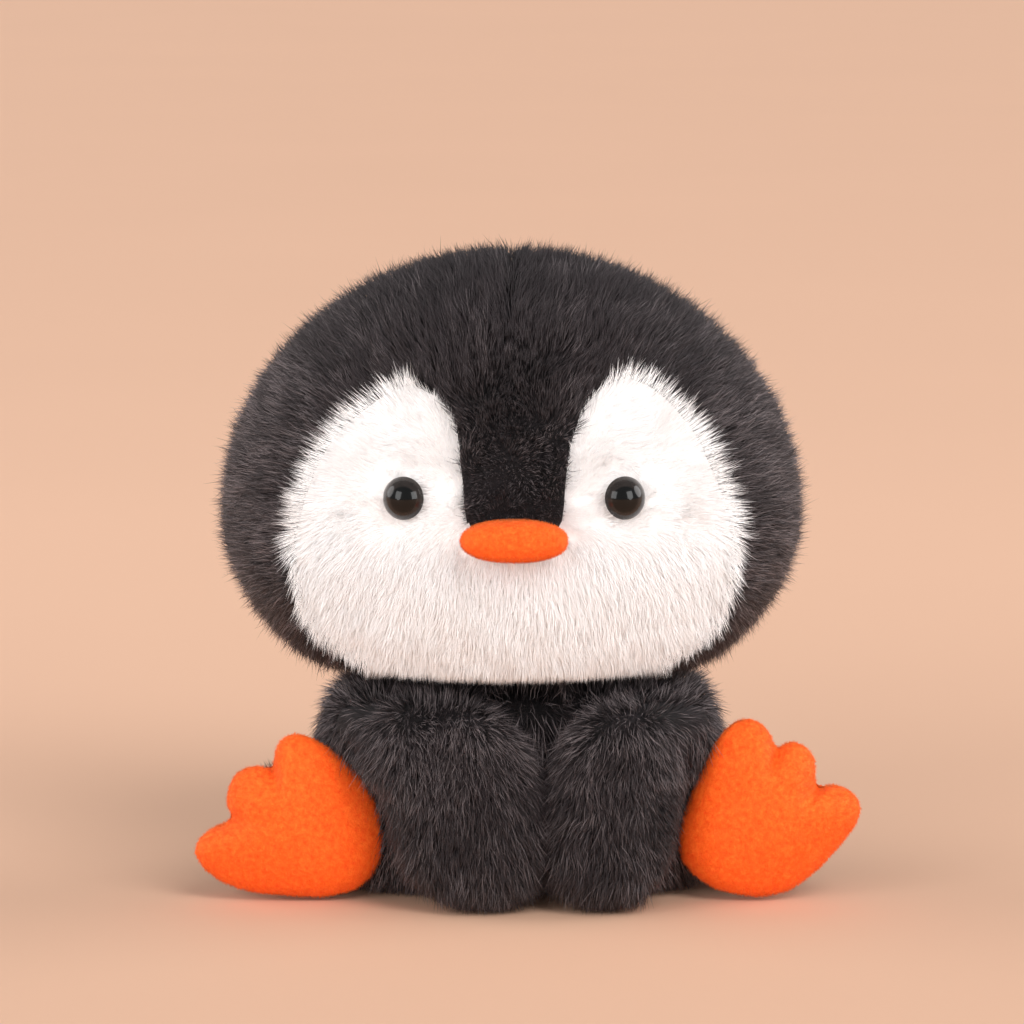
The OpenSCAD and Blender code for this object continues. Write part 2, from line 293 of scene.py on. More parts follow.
def stuff(piece, voxel, most, pressure=None):
    """Swells a padded piece from within with the cloth solver, by up to most."""
    apply_modifier(piece, "REMESH", mode="VOXEL", voxel_size=voxel)
    rest = coordinates(piece.data)
    activate(piece)
    cloth = piece.modifiers.new("Cloth", "CLOTH")
    cloth.settings.quality = 6
    cloth.settings.use_pressure = True
    cloth.settings.uniform_pressure_force = pressure or shape().pressure
    cloth.settings.effector_weights.gravity = 0
    cloth.collision_settings.use_collision = False
    for number in range(1, SWELL_FRAMES + 1):
        bpy.context.scene.frame_set(number)
    solved = piece.evaluated_get(bpy.context.evaluated_depsgraph_get())
    moved = coordinates(solved.data) - rest
    piece.modifiers.remove(cloth)
    bpy.context.scene.frame_set(1)
    moved -= moved.mean(axis=0)
    reach = np.linalg.norm(moved, axis=1, keepdims=True)
    set_coordinates(piece.data, rest + moved * np.minimum(1, most / np.maximum(reach, 1e-9)))
    apply_modifier(piece, "SUBSURF", levels=1, render_levels=1)
    smooth(piece)


def skin_round(name, filling, thickness, voxel):
    """A skin of one even thickness sewn round a piece of stuffing."""
    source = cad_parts[filling]
    mesh = bmesh.new()
    mesh.from_mesh(source.data)
    bmesh.ops.remove_doubles(mesh, verts=mesh.verts, dist=0.01 * MM)
    skin = link(name, bpy.data.meshes.new(name))
    mesh.to_mesh(skin.data)
    mesh.free()
    apply_modifier(skin, "REMESH", mode="VOXEL", voxel_size=voxel)
    apply_modifier(skin, "SMOOTH", factor=0.5, iterations=3)
    apply_modifier(skin, "DISPLACE", strength=thickness, mid_level=0)
    return skin


def finish_piece(piece, body, material, replaces=()):
    paint(piece, material)
    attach(piece, body)
    if replaces:
        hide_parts(*replaces)


# ------------------------------------------------------------------ pile


def ripple(points, size, rng, waves=7):
    """A smooth random vector at each point, that changes over about size metres."""
    total = np.zeros_like(points)
    for axis in range(3):
        for _ in range(waves):
            heading = unit(rng.normal(size=3)) * (2 * math.pi / size) * rng.uniform(0.6, 1.6)
            total[:, axis] += np.sin(points @ heading + rng.uniform(0, 2 * math.pi))
    return total / math.sqrt(waves / 2)


def scatter(skin, density, weight, rng):
    """Random places on a skin, density to the square millimetre, with their normals."""
    mesh = skin.data
    mesh.calc_loop_triangles()
    points = coordinates(mesh)
    normals = np.empty(len(points) * 3)
    mesh.vertices.foreach_get("normal", normals)
    normals = normals.reshape(-1, 3)
    corners = np.empty(len(mesh.loop_triangles) * 3, np.int32)
    mesh.loop_triangles.foreach_get("vertices", corners)
    corners = corners.reshape(-1, 3)
    a, b, c = (points[corners[:, i]] for i in range(3))
    area = np.linalg.norm(np.cross(b - a, c - a), axis=1) / 2
    area = area * weight((a + b + c) / 3)
    count = int(area.sum() / MM**2 * density)
    chosen = np.sort(rng.choice(len(corners), count, p=area / area.sum()))
    u = np.sqrt(rng.random((count, 1)))
    v = rng.random((count, 1))
    shares = np.hstack([1 - u, u * (1 - v), u * v])
    places = sum(shares[:, [i]] * points[corners[chosen, i]] for i in range(3))
    facing = sum(shares[:, [i]] * normals[corners[chosen, i]] for i in range(3))
    return places, unit(facing)


def gather(roots, ends, size, pull, rng):
    """Draws the ends of neighbouring strands together into tufts about size wide."""
    count = max(1, int(len(roots) * 0.045 * (0.0025 / size) ** 2))
    centres = rng.choice(len(roots), count, replace=False)
    tree = kdtree.KDTree(count)
    for i, centre in enumerate(centres):
        tree.insert(roots[centre], i)
    tree.balance()
    nearest = centres[[tree.find(root)[1] for root in roots]]
    strength = (pull * rng.uniform(0.3, 1.0, len(roots)))[:, None]
    offset = ends[nearest] - ends
    reach = np.linalg.norm(offset, axis=1, keepdims=True)
    return offset * strength * np.minimum(1, 2 * size / np.maximum(reach, 1e-9))


SPINDLE = {  # a point at the root, three corners, a point at the tip
    "faces": ((0, 2, 1), (0, 3, 2), (0, 1, 3), (1, 2, 4), (2, 3, 4), (3, 1, 4)),
    "sideways": (0, -0.01, 0, 0.01, 0),
    "height": (0.01, 0.45, 0.45, 0.45, 0.99),
}
SPIKE = {  # three corners at the root, a point at the tip
    "faces": ((0, 2, 1), (0, 1, 3), (1, 2, 3), (2, 0, 3)),
    "sideways": (-0.01, 0, 0.01, 0),
    "height": (0.02, 0.02, 0.02, 0.99),
}


def strand_mesh(name, strand, roots, middles, tips, widths, shades, rng, normals, soft):
    """One mesh of closed strands. soft is how far each one is shaded as a part of the
    cloth that it grows from."""
    count = len(roots)
    along = unit(middles - roots)
    side = unit(np.cross(along, rng.normal(size=(count, 3))))
    other = np.cross(along, side)
    spokes = [
        side * math.cos(turn) + other * math.sin(turn)
        for turn in (0, 2 * math.pi / 3, 4 * math.pi / 3)
    ]
    waist = middles if strand is SPINDLE else roots
    rings = [waist + widths[:, None] / 2 * spoke for spoke in spokes]
    ends = [roots] if strand is SPINDLE else []
    verts = np.stack([*ends, *rings, tips], axis=1)
    pattern = np.array(strand["faces"])
    loops = (pattern[None] + verts.shape[1] * np.arange(count)[:, None, None]).ravel()
    verts = verts.reshape(-1, 3)
    mesh = bpy.data.meshes.new(name)
    mesh.vertices.add(len(verts))
    mesh.vertices.foreach_set("co", verts.ravel())
    mesh.loops.add(len(loops))
    mesh.loops.foreach_set("vertex_index", loops)
    mesh.polygons.add(len(loops) // 3)
    mesh.polygons.foreach_set("loop_start", np.arange(0, len(loops), 3))
    mesh.update(calc_edges=True)
    mesh.polygons.foreach_set("use_smooth", np.ones(len(mesh.polygons), bool))
    across = (shades[:, None] + np.array(strand["sideways"]))[:, pattern.ravel()]
    up = np.broadcast_to(np.array(strand["height"])[pattern.ravel()], across.shape)
    layer = mesh.uv_layers.new(name=STRAND_MAP)
    layer.data.foreach_set("uv", np.stack([across, up], axis=-1).ravel())
    lie = unit(tips - middles)
    cloth = unit(normals - 0.85 * lie * np.sum(normals * lie, axis=1, keepdims=True))
    facing = ([-along] if strand is SPINDLE else []) + [*spokes, lie]
    shaded = np.stack([unit((1 - soft) * f + soft * cloth) for f in facing], axis=1)
    mesh.normals_split_custom_set_from_vertices(shaded.reshape(-1, 3).tolist())
    return link(name, mesh)


def grow(name, skin, density, length, width, weight, comb, lean=(40, 72), tuft=2.0 * MM,
         pull=0.28, stray=0.24, swirl=0.14, soft=0.35, trim=None, lift=None, patch=16 * MM,
         strand=SPINDLE, seed=0):
    """Grows pile on a skin. comb gives the way that the nap lies at points on it, and the shorter
    its arrow, the more upright the pile. lean is the two angles from the normal at which a strand
    starts and ends in full nap, trim its share of the full length, lift how much paler the pile
    is painted where light falls on it and darker where it lies in shade, as painted light and
    painted shade, and patch the size of its paler and darker patches."""
    rng = np.random.default_rng([pile().seed, seed])
    roots, normals = scatter(skin, density, weight, rng)
    count = len(roots)
    nap = comb(roots, normals) + swirl * ripple(roots, 22 * MM, rng)
    nap += 0.5 * swirl * ripple(roots, 7 * MM, rng)
    nap = nap - normals * np.sum(nap * normals, axis=1, keepdims=True)
    strength = np.minimum(1, np.linalg.norm(nap, axis=1, keepdims=True))
    nap = unit(nap) + stray * rng.normal(size=(count, 3))
    reach = length * rng.uniform(0.72, 1.12, count)
    if trim is not None:
        reach = reach * trim(roots)
    reach = reach[:, None]
    start, end = (
        np.radians(a * strength + rng.normal(0, 8, (count, 1))) for a in lean)
    middles = roots + 0.45 * reach * (normals * np.cos(start) + nap * np.sin(start))
    tips = middles + 0.55 * reach * (normals * np.cos(end) + nap * np.sin(end))
    drawn = gather(roots, tips, tuft, pull, rng) if pull else 0
    tips = tips + drawn
    middles = middles + 0.35 * drawn
    roots = roots - normals * (0.4 if strand is SPINDLE else 0.15) * MM
    patches = 0.5 + 0.12 * ripple(roots, patch, rng)[:, 0]
    # lift paints light and shade into the strands' shades
    if lift is not None:
        patches = patches + lift(roots)
    shades = np.clip(0.4 * patches + 0.6 * rng.random(count), 0.03, 0.97)
    widths = width * rng.uniform(0.7, 1.2, count)
    return strand_mesh(name, strand, roots, middles, tips, widths, shades, rng, normals, soft)


# ------------------------------------------------------------------ materials


def socket(group, name, kind, way="INPUT", default=None):
    made = group.interface.new_socket(name=name, in_out=way, socket_type="NodeSocket" + kind)
    if default is not None:
        made.default_value = default
    return made


def node(tree, kind, **settings):
    made = tree.nodes.new("ShaderNode" + kind)
    for key, value in settings.items():
        setattr(made, key, value)
    return made


def ramp(tree, value, start, end, **settings):
    """An output that climbs from 0 to 1 as a value goes from start to end."""
    step = node(tree, "MapRange", **settings)
    step.inputs["From Min"].default_value = start
    step.inputs["From Max"].default_value = end
    tree.links.new(value, step.inputs["Value"])
    return step.outputs["Result"]


def blend_colours(tree, factor, low, high):
    """A colour mix. Each of its inputs is a socket or a plain value."""
    mix = node(tree, "Mix", data_type="RGBA")
    for name, value in (("Factor", factor), ("A", low), ("B", high)):
        spot = next(s for s in mix.inputs if s.name == name and (
            s.type == "RGBA" if name != "Factor" else s.type == "VALUE"))
        if isinstance(value, bpy.types.NodeSocket):
            tree.links.new(value, spot)
        else:
            spot.default_value = value
    return next(s for s in mix.outputs if s.type == "RGBA")


def strand_group(name="Strand colour"):
    """Colour along a strand: root to tip up its map, and one strand's shade across it."""
    if name in bpy.data.node_groups:
        return bpy.data.node_groups[name]
    group = bpy.data.node_groups.new(name, "ShaderNodeTree")
    socket(group, "Root", "Color")
    socket(group, "Tip", "Color")
    socket(group, "Odd Strands", "Color")
    socket(group, "Rise", "Float", default=0.6)
    socket(group, "Color", "Color", "OUTPUT")
    enter = group.nodes.new("NodeGroupInput")
    leave = group.nodes.new("NodeGroupOutput")
    uv = node(group, "UVMap", uv_map=STRAND_MAP)
    split = node(group, "SeparateXYZ")
    group.links.new(uv.outputs["UV"], split.inputs["Vector"])
    climb = node(group, "Math", operation="POWER")
    group.links.new(split.outputs["Y"], climb.inputs[0])
    group.links.new(enter.outputs["Rise"], climb.inputs[1])
    base = blend_colours(group, climb.outputs[0], enter.outputs["Root"], enter.outputs["Tip"])
    odd = ramp(group, split.outputs["X"], 0.62, 0.97, interpolation_type="SMOOTHSTEP")
    share = node(group, "Math", operation="MULTIPLY")
    group.links.new(odd, share.inputs[0])
    group.links.new(climb.outputs[0], share.inputs[1])
    final = blend_colours(group, share.outputs[0], base, enter.outputs["Odd Strands"])
    group.links.new(final, leave.inputs["Color"])
    return group


def backing_group(name="Knitted backing"):
    """Knitted backing: fine loops with soft patches, as a colour and a height."""
    if name in bpy.data.node_groups:
        return bpy.data.node_groups[name]
    group = bpy.data.node_groups.new(name, "ShaderNodeTree")
    socket(group, "Dark", "Color")
    socket(group, "Light", "Color")
    socket(group, "Loops", "Float", default=900.0)
    socket(group, "Patches", "Float", default=60.0)
    socket(group, "Color", "Color", "OUTPUT")
    socket(group, "Height", "Float", "OUTPUT")
    enter = group.nodes.new("NodeGroupInput")
    leave = group.nodes.new("NodeGroupOutput")
    patches, _ = grain(group, 0, detail=4)
    loops, _ = grain(group, 0)
    group.links.new(enter.outputs["Patches"], patches.inputs["Scale"])
    group.links.new(enter.outputs["Loops"], loops.inputs["Scale"])
    total = node(group, "Math", operation="MULTIPLY_ADD")
    group.links.new(loops.outputs["Fac"], total.inputs[0])
    total.inputs[1].default_value = 0.45
    group.links.new(patches.outputs["Fac"], total.inputs[2])
    spread = ramp(group, total.outputs[0], 0.5, 0.95)
    final = blend_colours(group, spread, enter.outputs["Dark"], enter.outputs["Light"])
    group.links.new(final, leave.inputs["Color"])
    group.links.new(loops.outputs["Fac"], leave.inputs["Height"])
    return group


def grain(tree, scale, detail=2):
    """Noise that is fixed to the object: scale says how fine, in waves to the metre."""
    place = node(tree, "TexCoord")
    noise = node(tree, "TexNoise")
    noise.inputs["Scale"].default_value = scale
    noise.inputs["Detail"].default_value = detail
    tree.links.new(place.outputs["Object"], noise.inputs["Vector"])
    return noise, place


def raise_grain(tree, shader, height, strength, distance):
    """Bumps a shader's surface by a height."""
    relief = node(tree, "Bump")
    relief.inputs["Strength"].default_value = strength
    relief.inputs["Distance"].default_value = distance
    tree.links.new(height, relief.inputs["Height"])
    tree.links.new(relief.outputs["Normal"], shader.inputs["Normal"])


def new_material(name, roughness, **plain):
    """A material with its Principled shader, whose other sockets are set to plain values."""
    material = bpy.data.materials.new(name)
    material.use_nodes = True
    tree = material.node_tree
    shader = tree.nodes["Principled BSDF"]
    shader.inputs["Roughness"].default_value = roughness
    for key, value in plain.items():
        shader.inputs[key.replace("_", " ")].default_value = value
    return material, tree, shader


def use_group(tree, group, **values):
    made = node(tree, "Group", node_tree=group)
    for key, value in values.items():
        made.inputs[key.replace("_", " ")].default_value = value
    return made


def opaque(colour, gain=1.0):
    return (*(min(1.0, c * gain) for c in colour), 1)


def strand_material(name, root, tip, odd, rise, roughness, **plain):
    material, tree, shader = new_material(name, roughness, **plain)
    group = use_group(
        tree, strand_group(), Root=opaque(root), Tip=opaque(tip), Odd_Strands=opaque(odd),
        Rise=rise)
    tree.links.new(group.outputs["Color"], shader.inputs["Base Color"])
    return material


def backing_material(name, dark, light, loops=900.0, patches=60.0, bump=0.3, **plain):
    material, tree, shader = new_material(name, 0.85, **plain)
    group = use_group(
        tree, backing_group(), Dark=opaque(dark), Light=opaque(light), Loops=loops,
        Patches=patches)
    tree.links.new(group.outputs["Color"], shader.inputs["Base Color"])
    raise_grain(tree, shader, group.outputs["Height"], bump, 0.3 * MM)
    return material


def shared(name, make):
    return bpy.data.materials.get(name) or make(name)


def black_pile_material():
    c = colours()
    return shared("black pile", lambda name: strand_material(
        name, c.hood_root, c.hood_tip, (0.40, 0.335, 0.34), 1.5, 0.5,
        Specular_IOR_Level=0.4))


def white_pile_material():
    # The white pile glows a little: its emission is painted light that lifts the shade between
    # its strands.
    c = colours()
    return shared("white pile", lambda name: strand_material(
        name, c.face_root, c.face_tip, (1.0, 0.985, 0.98), 0.5, 0.6,
        Specular_IOR_Level=0.2, Emission_Color=(1.0, 0.93, 0.91, 1),
        Emission_Strength=0.07))


def velvet_pile_material():
    c = colours()
    return shared("velvet pile", lambda name: strand_material(
        name, c.velvet_deep, c.velvet_light, (1.0, 0.33, 0.085), 0.7, 0.6,
        Specular_IOR_Level=0.2, Sheen_Weight=0.15, Sheen_Roughness=0.35,
        Sheen_Tint=(1.0, 0.5, 0.2, 1)))


def black_backing_material():
    c = colours()
    return shared("black backing", lambda name: backing_material(
        name, c.hood_root, (0.02, 0.016, 0.018)))


def white_backing_material():
    return shared("white backing", lambda name: backing_material(
        name, (0.90, 0.86, 0.85), (0.97, 0.95, 0.94)))


def velvet_backing_material():
    c = colours()
    return shared("velvet backing", lambda name: backing_material(
        name, c.velvet_deep, c.velvet_light, loops=1600.0, patches=600.0, bump=0.5,
        Sheen_Weight=0.3, Sheen_Roughness=0.4, Sheen_Tint=(1.0, 0.5, 0.2, 1)))


def filling_material():
    return shared("fibre filling", lambda name: backing_material(
        name, (0.74, 0.73, 0.70), (0.92, 0.92, 0.90), loops=1300.0, patches=110.0, bump=0.8))


# ------------------------------------------------------------------ head


def head_form(directions, inset=2.0 * MM):
    """The head's skin: an egg lying on its side, dented by its seam and its eye threads."""
    radii = np.where(
        directions[:, [2]] < 0, [HEAD_RADII[0], HEAD_RADII[1], HEAD_DROP], HEAD_RADII)
    points = HEAD_MIDDLE + directions * (radii - inset)
    points = points - unit(directions / radii) * dents(points)[:, None]
    neck = NECK_Z + 4.5 * MM
    low = points[:, 2] < neck
    points[low, 2] = neck - 0.15 * (neck - points[low, 2])
    return points


def dents(points):
    """How far each point of the head is pulled in: by the eye threads and the crown seam."""
    pulled = np.zeros(len(points))
    for eye in EYES.values():
        front = points[:, 1] < HEAD_MIDDLE[1]
        above = np.linalg.norm((points - eye)[:, [0, 2]] / MM - [0, 9], axis=1) / 9
        at = np.linalg.norm((points - eye)[:, [0, 2]], axis=1) / (8 * MM)
        dent = shape().eye_dimple * (np.exp(-above**2) + np.exp(-at**2))
        pulled += np.where(front, dent, 0)
    off_line = (points[:, 0] - HEAD_MIDDLE[0]) / (3 * MM)
    height = smooth_step(points[:, 2], 176 * MM, 196 * MM)
    pulled += shape().seam_depth * np.exp(-off_line**2) * height
    return pulled


def split_face(head):
    """Cuts the head's skin along the white face's seam, into the hood and the face.
    The corners along the cut are first drawn onto the seam."""
    mesh = bmesh.new()
    mesh.from_mesh(head.data)
    centres = np.array([f.calc_center_median() for f in mesh.faces])
    white = face_depth(centres) > 0
    for face, is_white in zip(mesh.faces, white):
        face.material_index = int(is_white)
    seam = {
        v for e in mesh.edges if len(e.link_faces) == 2
        and e.link_faces[0].material_index != e.link_faces[1].material_index
        for v in e.verts
    }
    seam = sorted(seam, key=lambda v: v.index)
    for _ in range(6):
        here = np.array([v.co for v in seam])
        depth = face_depth(here)
        step = 0.3 * MM
        slope = np.stack([
            (face_depth(here + np.eye(3)[axis] * step) - depth) / step for axis in (0, 2)
        ], axis=1)
        size = np.maximum(np.sum(slope**2, axis=1), 0.3)
        move = np.clip(-depth / size, -1.2 * MM, 1.2 * MM)[:, None] * slope
        for v, (x, z) in zip(seam, move * 0.7):
            v.co.x += x
            v.co.z += z
    mesh.to_mesh(head.data)
    mesh.free()
    for _ in range(2):
        head.data.materials.append(None)
    activate(head)
    bpy.ops.object.mode_set(mode="EDIT")
    bpy.ops.mesh.select_all(action="SELECT")
    bpy.ops.mesh.separate(type="MATERIAL")
    bpy.ops.object.mode_set(mode="OBJECT")
    parts = [o for o in bpy.context.selected_objects if o.type == "MESH"]
    return sorted(parts, key=lambda o: coordinates(o.data)[:, 1].max(), reverse=True)


def away_from_face(points, normals):
    """The hood's nap: back from the face all round, parted at the crown seam. It is
    weakest on the forehead, where the pile stands on end."""
    out = points - HEAD_MIDDLE
    nap = np.zeros_like(points)
    nap[:, 1] = 1
    nap[:, 0] = 0.35 * out[:, 0] / HEAD_RADII[0]
    beside = points[:, 0] - HEAD_MIDDLE[0]
    near = np.exp(-(beside / (13 * MM)) ** 2) * smooth_step(points[:, 2], 182 * MM, 198 * MM)
    nap[:, 0] += 0.25 * near * np.sign(beside)
    back = smooth_step(points[:, 1], 0, 40 * MM)
    nap[:, 2] -= 1.2 * back
    nap[:, 1] -= 1.2 * back
    nap[:, 2] -= 0.9 * smooth_step(-points[:, 2], -112 * MM, -88 * MM)
    middle = np.exp(-(beside / (26 * MM)) ** 2) * (points[:, 1] < 0)
    on_end = 1 - 0.72 * middle * smooth_step(-points[:, 2], -198 * MM, -182 * MM)
    return nap * (1.15 * on_end * (1 - 0.6 * on_gusset(points)))[:, None]


def down_the_face(points, normals):
    """The face's nap: almost on end, but brushed out over its outer seam and round its
    eyes, and straight down below the beak."""
    depth = face_depth(points)
    out = points - np.array([FACE_X, 0, 132 * MM])
    out[:, 1] = 0
    step = 1 * MM
    slope = np.zeros_like(points)
    for axis in (0, 2):
        slope[:, axis] = (face_depth(points + step * np.eye(3)[axis]) - depth) / step
    by_gusset = smooth_step(-np.abs(points[:, 0] - FACE_X), -34 * MM, -28 * MM)
    by_seam = (1 - smooth_step(depth, 1 * MM, 8 * MM)) * (0.7 - 0.4 * by_gusset)
    upper = 0.28 * unit(out) - unit(slope) * by_seam[:, None]
    lower = smooth_step(-points[:, 2], -134 * MM, -112 * MM)[:, None]
    down = np.column_stack([
        0.5 * (points[:, 0] - FACE_X) / (100 * MM), np.zeros(len(points)),
        -np.ones(len(points))])
    nap = upper * (1 - lower) + down * lower
    for eye in EYES.values():
        toward = eye - points
        toward[:, 1] = 0
        gap = np.linalg.norm(toward, axis=1, keepdims=True)
        near = np.exp(-(gap / (9 * MM)) ** 4)
        nap = nap * (1 - near) + 0.7 * near * unit(toward)
    return nap


def round_the_eyes(points):
    """Pile is clipped short round the eyes, the beak and the gusset, is a little longer at
    the outer seam, and shortens again down the chin."""
    share = np.ones(len(points))
    for eye in EYES.values():
        gap = np.linalg.norm((points - eye)[:, [0, 2]], axis=1)
        share *= 0.62 + 0.38 * smooth_step(gap, 7 * MM, 16 * MM)
    gap = np.linalg.norm((points - BEAK_MIDDLE)[:, [0, 2]] / [19 * MM, 8 * MM], axis=1)
    share *= 0.45 + 0.55 * smooth_step(gap, 0.8, 1.6)
    by_gusset = smooth_step(-np.abs(points[:, 0] - FACE_X), -30 * MM, -24 * MM)
    by_gusset = by_gusset * smooth_step(points[:, 2], 132 * MM, 140 * MM)
    share *= 1 + (0.25 - 0.65 * by_gusset) * smooth_step(-face_depth(points), -5 * MM, 0)
    return share * (1 - 0.25 * smooth_step(-points[:, 2], -100 * MM, -84 * MM))


EYE_CLEARANCE = 6.3 * MM  # just inside the eye's own radius, so that hairs cross its rim


def clear_of_eyes(points):
    """No strand starts behind an eye or the beak."""
    keep = np.ones(len(points))
    for eye in EYES.values():
        keep *= np.linalg.norm((points - eye)[:, [0, 2]], axis=1) > EYE_CLEARANCE
    gap = (points - BEAK_MIDDLE)[:, [0, 2]] / [17 * MM, 6 * MM]
    return keep * (np.linalg.norm(gap, axis=1) > 1)


CROWN_Z = 158 * MM  # the crown's pile starts above this height
BROW_Z = 122 * MM  # and the upper half of the face's pile above this one


class PENGUIN_OT_head(bpy.types.Operator):
    """Sews the black hood and the white face, and grows their pile"""

    bl_idname = "penguin.head"
    bl_label = "Head"

    def execute(self, context):
        head = round_form("head_skin", head_form)
        hood, face = split_face(head)
        hood.name = hood.data.name = "hood_skin"
        face.name = face.data.name = "face_skin"
        p = pile()
        middle = HEAD_MIDDLE[0]
        parts = (
            ("crown", lambda q: (q[:, 1] < 0) & (q[:, 2] > CROWN_Z)),
            ("cheek", lambda q: (q[:, 1] < 0) & (q[:, 2] <= CROWN_Z)),
            ("back", lambda q: q[:, 1] >= 0),
        )
        jobs = [(part, where, side) for part, where in parts for side in SIDES]
        for number, (part, where, side) in enumerate(jobs):
            behind = part == "back"
            # the hood's pile gets painted light on its sides and painted shade along its middle
            # line
            tufts = grow(
                f"{part}_pile_{side}", hood, p.back_density if behind else p.front_density,
                p.hood_length, p.strand_width * (1.6 if behind else 1),
                lambda q: (where(q) & ((q[:, 0] > middle) == (side == "left")))
                * (q[:, 2] > NECK_Z + 2 * MM) * clear_of_eyes(q),
                away_from_face, pull=0.18, trim=hood_trim, lift=painted_side_light,
                seed=10 + number)
            finish_piece(tufts, "head", black_pile_material())
        for side, sign in SIDES.items():
            for part, seed, part_sign in (("brow", 20, 1), ("cheek", 24, -1)):
                tufts = grow(
                    f"face_{part}_pile_{side}", face, p.face_density, p.face_length,
                    p.strand_width * 0.8,
                    lambda q: (sign * (q[:, 0] - FACE_X) > 0) * clear_of_eyes(q)
                    * (part_sign * (q[:, 2] - BROW_Z) > 0),
                    down_the_face, lean=(38, 70), pull=0.08, stray=0.2,
                    trim=round_the_eyes, swirl=0.1, soft=0.93, seed=seed + sign)
                finish_piece(tufts, "head", white_pile_material())
        for skin in (hood, face):
            apply_modifier(skin, "SOLIDIFY", thickness=shape().skin_thickness, offset=-1)
        finish_piece(
            hood, "head", black_backing_material(),
            ["crown_left", "crown_right", "cheek_left", "cheek_right", "forehead_gusset",
             "head_back_left", "head_back_right", "head_stuffing"])
        finish_piece(
            face, "head", white_backing_material(), ["face_left", "face_right"])
        return {"FINISHED"}


def on_gusset(points):
    """1 on the narrow strip between the white lobes, fading to 0 on the crown."""
    beside = smooth_step(-np.abs(points[:, 0] - FACE_X), -27 * MM, -24 * MM)
    return beside * smooth_step(-points[:, 2], -176 * MM, -150 * MM) * (points[:, 1] < 0)


def hood_trim(points):
    """The gusset's pile is short, and shortest by the beak."""
    by_beak = smooth_step(-points[:, 2], -150 * MM, -128 * MM)
    return 1 - on_gusset(points) * (0.3 + 0.2 * by_beak)


def painted_side_light(points):
    """Painted light and shade on the hood's pile: paler on the sides, where the pile lies over
    and catches the side lights, and a little darker along the head's middle line as painted
    shade. It is also paler on the gusset.
    """
    beside = np.abs(points[:, 0] - HEAD_MIDDLE[0])
    middle = smooth_step(-beside, -34 * MM, -20 * MM)
    return (0.4 * smooth_step(beside, 40 * MM, 84 * MM) - 0.1 * middle
            + 0.25 * on_gusset(points))


# ------------------------------------------------------------------ eyes


PUPIL_EDGE = (3.9 * MM, 4.6 * MM)  # from the eye's middle: where black turns to brown


def eye_material(side):
    """Polished plastic: a black pupil in a dark brown rim that lets a little light in."""
    material, tree, shader = new_material(
        "eye plastic " + side, 0.2, Coat_Weight=1.0, Coat_Roughness=0.03, Coat_IOR=1.35,
        Specular_IOR_Level=0.1)
    eye = EYES[side]
    speckle, place = grain(tree, 420)
    centre = node(tree, "Mapping")
    centre.inputs["Location"].default_value = (-eye[0], -eye[1], -eye[2])
    tree.links.new(place.outputs["Object"], centre.inputs["Vector"])
    flat = node(tree, "VectorMath", operation="MULTIPLY")
    flat.inputs[1].default_value = (1, 0, 1)
    tree.links.new(centre.outputs["Vector"], flat.inputs[0])
    length = node(tree, "VectorMath", operation="LENGTH")
    tree.links.new(flat.outputs["Vector"], length.inputs[0])
    rim = ramp(
        tree, length.outputs["Value"], *PUPIL_EDGE, interpolation_type="SMOOTHSTEP")
    brown = blend_colours(
        tree, speckle.outputs["Fac"], (0.009, 0.007, 0.006, 1), (0.026, 0.020, 0.018, 1))
    final = blend_colours(tree, rim, (0.002, 0.002, 0.002, 1), brown)
    tree.links.new(final, shader.inputs["Base Color"])
    return material


def moulded_material(name):
    material, tree, shader = new_material(name, 0.45)
    speckle, _ = grain(tree, 600)
    final = blend_colours(
        tree, speckle.outputs["Fac"], (0.70, 0.70, 0.66, 1), (0.82, 0.82, 0.79, 1))
    tree.links.new(final, shader.inputs["Base Color"])
    raise_grain(tree, shader, speckle.outputs["Fac"], 0.2, 0.1 * MM)
    return material


class PENGUIN_OT_eyes(bpy.types.Operator):
    """Finishes the eyes and the washers behind the face"""

    bl_idname = "penguin.eyes"
    bl_label = "Eyes"

    def execute(self, context):
        for side in SIDES:
            paint(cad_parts["eye_" + side], eye_material(side))
            paint(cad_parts["eye_washer_" + side], shared("moulded washer", moulded_material))
        return {"FINISHED"}


# ------------------------------------------------------------------ beak


def beak_form(directions):
    """A stuffed oval with blunt corners and a flatter top."""
    half = (BEAK_HIGH - BEAK_LOW) / 2 - 0.2 * MM
    x, y, z = directions.T
    fullness = (np.abs(x) ** 2.2 + np.abs(y) ** 2.3 + np.abs(z) ** 2.3) ** (-1 / 2.25)
    form = directions * fullness[:, None]
    form[:, 2] = np.where(form[:, 2] > 0, 0.96 * form[:, 2], form[:, 2])
    seam = np.exp(-((form[:, 2] - 0.1) / 0.12) ** 2)
    form[:, 1] *= 1 - 0.07 * seam
    return BEAK_MIDDLE + np.clip(form, -1, 1) * half + np.array([0, 0, 0.7 * MM])


def beak_nap(points, normals):
    """The beak's nap lies down and a little outward."""
    return np.column_stack([
        0.4 * (points[:, 0] - BEAK_MIDDLE[0]) / (18 * MM), np.zeros(len(points)),
        -0.6 * np.ones(len(points))])


class PENGUIN_OT_beak(bpy.types.Operator):
    """Sews and stuffs the velvet beak"""

    bl_idname = "penguin.beak"
    bl_label = "Beak"

    def execute(self, context):
        skin = round_form("beak_skin", beak_form)
        stuff(skin, 1.2 * MM, most=0.8 * MM)
        p = pile()
        nap = grow(
            "beak_pile", skin, p.velvet_density * 1.2, p.velvet_length * 0.8, p.velvet_width,
            lambda q: np.ones(len(q)), beak_nap, lean=(40, 60), pull=0, stray=0.45,
            soft=0.6, patch=4 * MM, strand=SPIKE, seed=31)
        finish_piece(nap, "head", velvet_pile_material())
        finish_piece(
            skin, "head", velvet_backing_material(),
            ["beak_upper", "beak_lower", "beak_stuffing"])
        return {"FINISHED"}


# ------------------------------------------------------------------ torso and neck


TORSO_HIPS = 30 * MM  # where the torso is widest
CHEST_X = 7 * MM  # where the flippers part in front of the chest


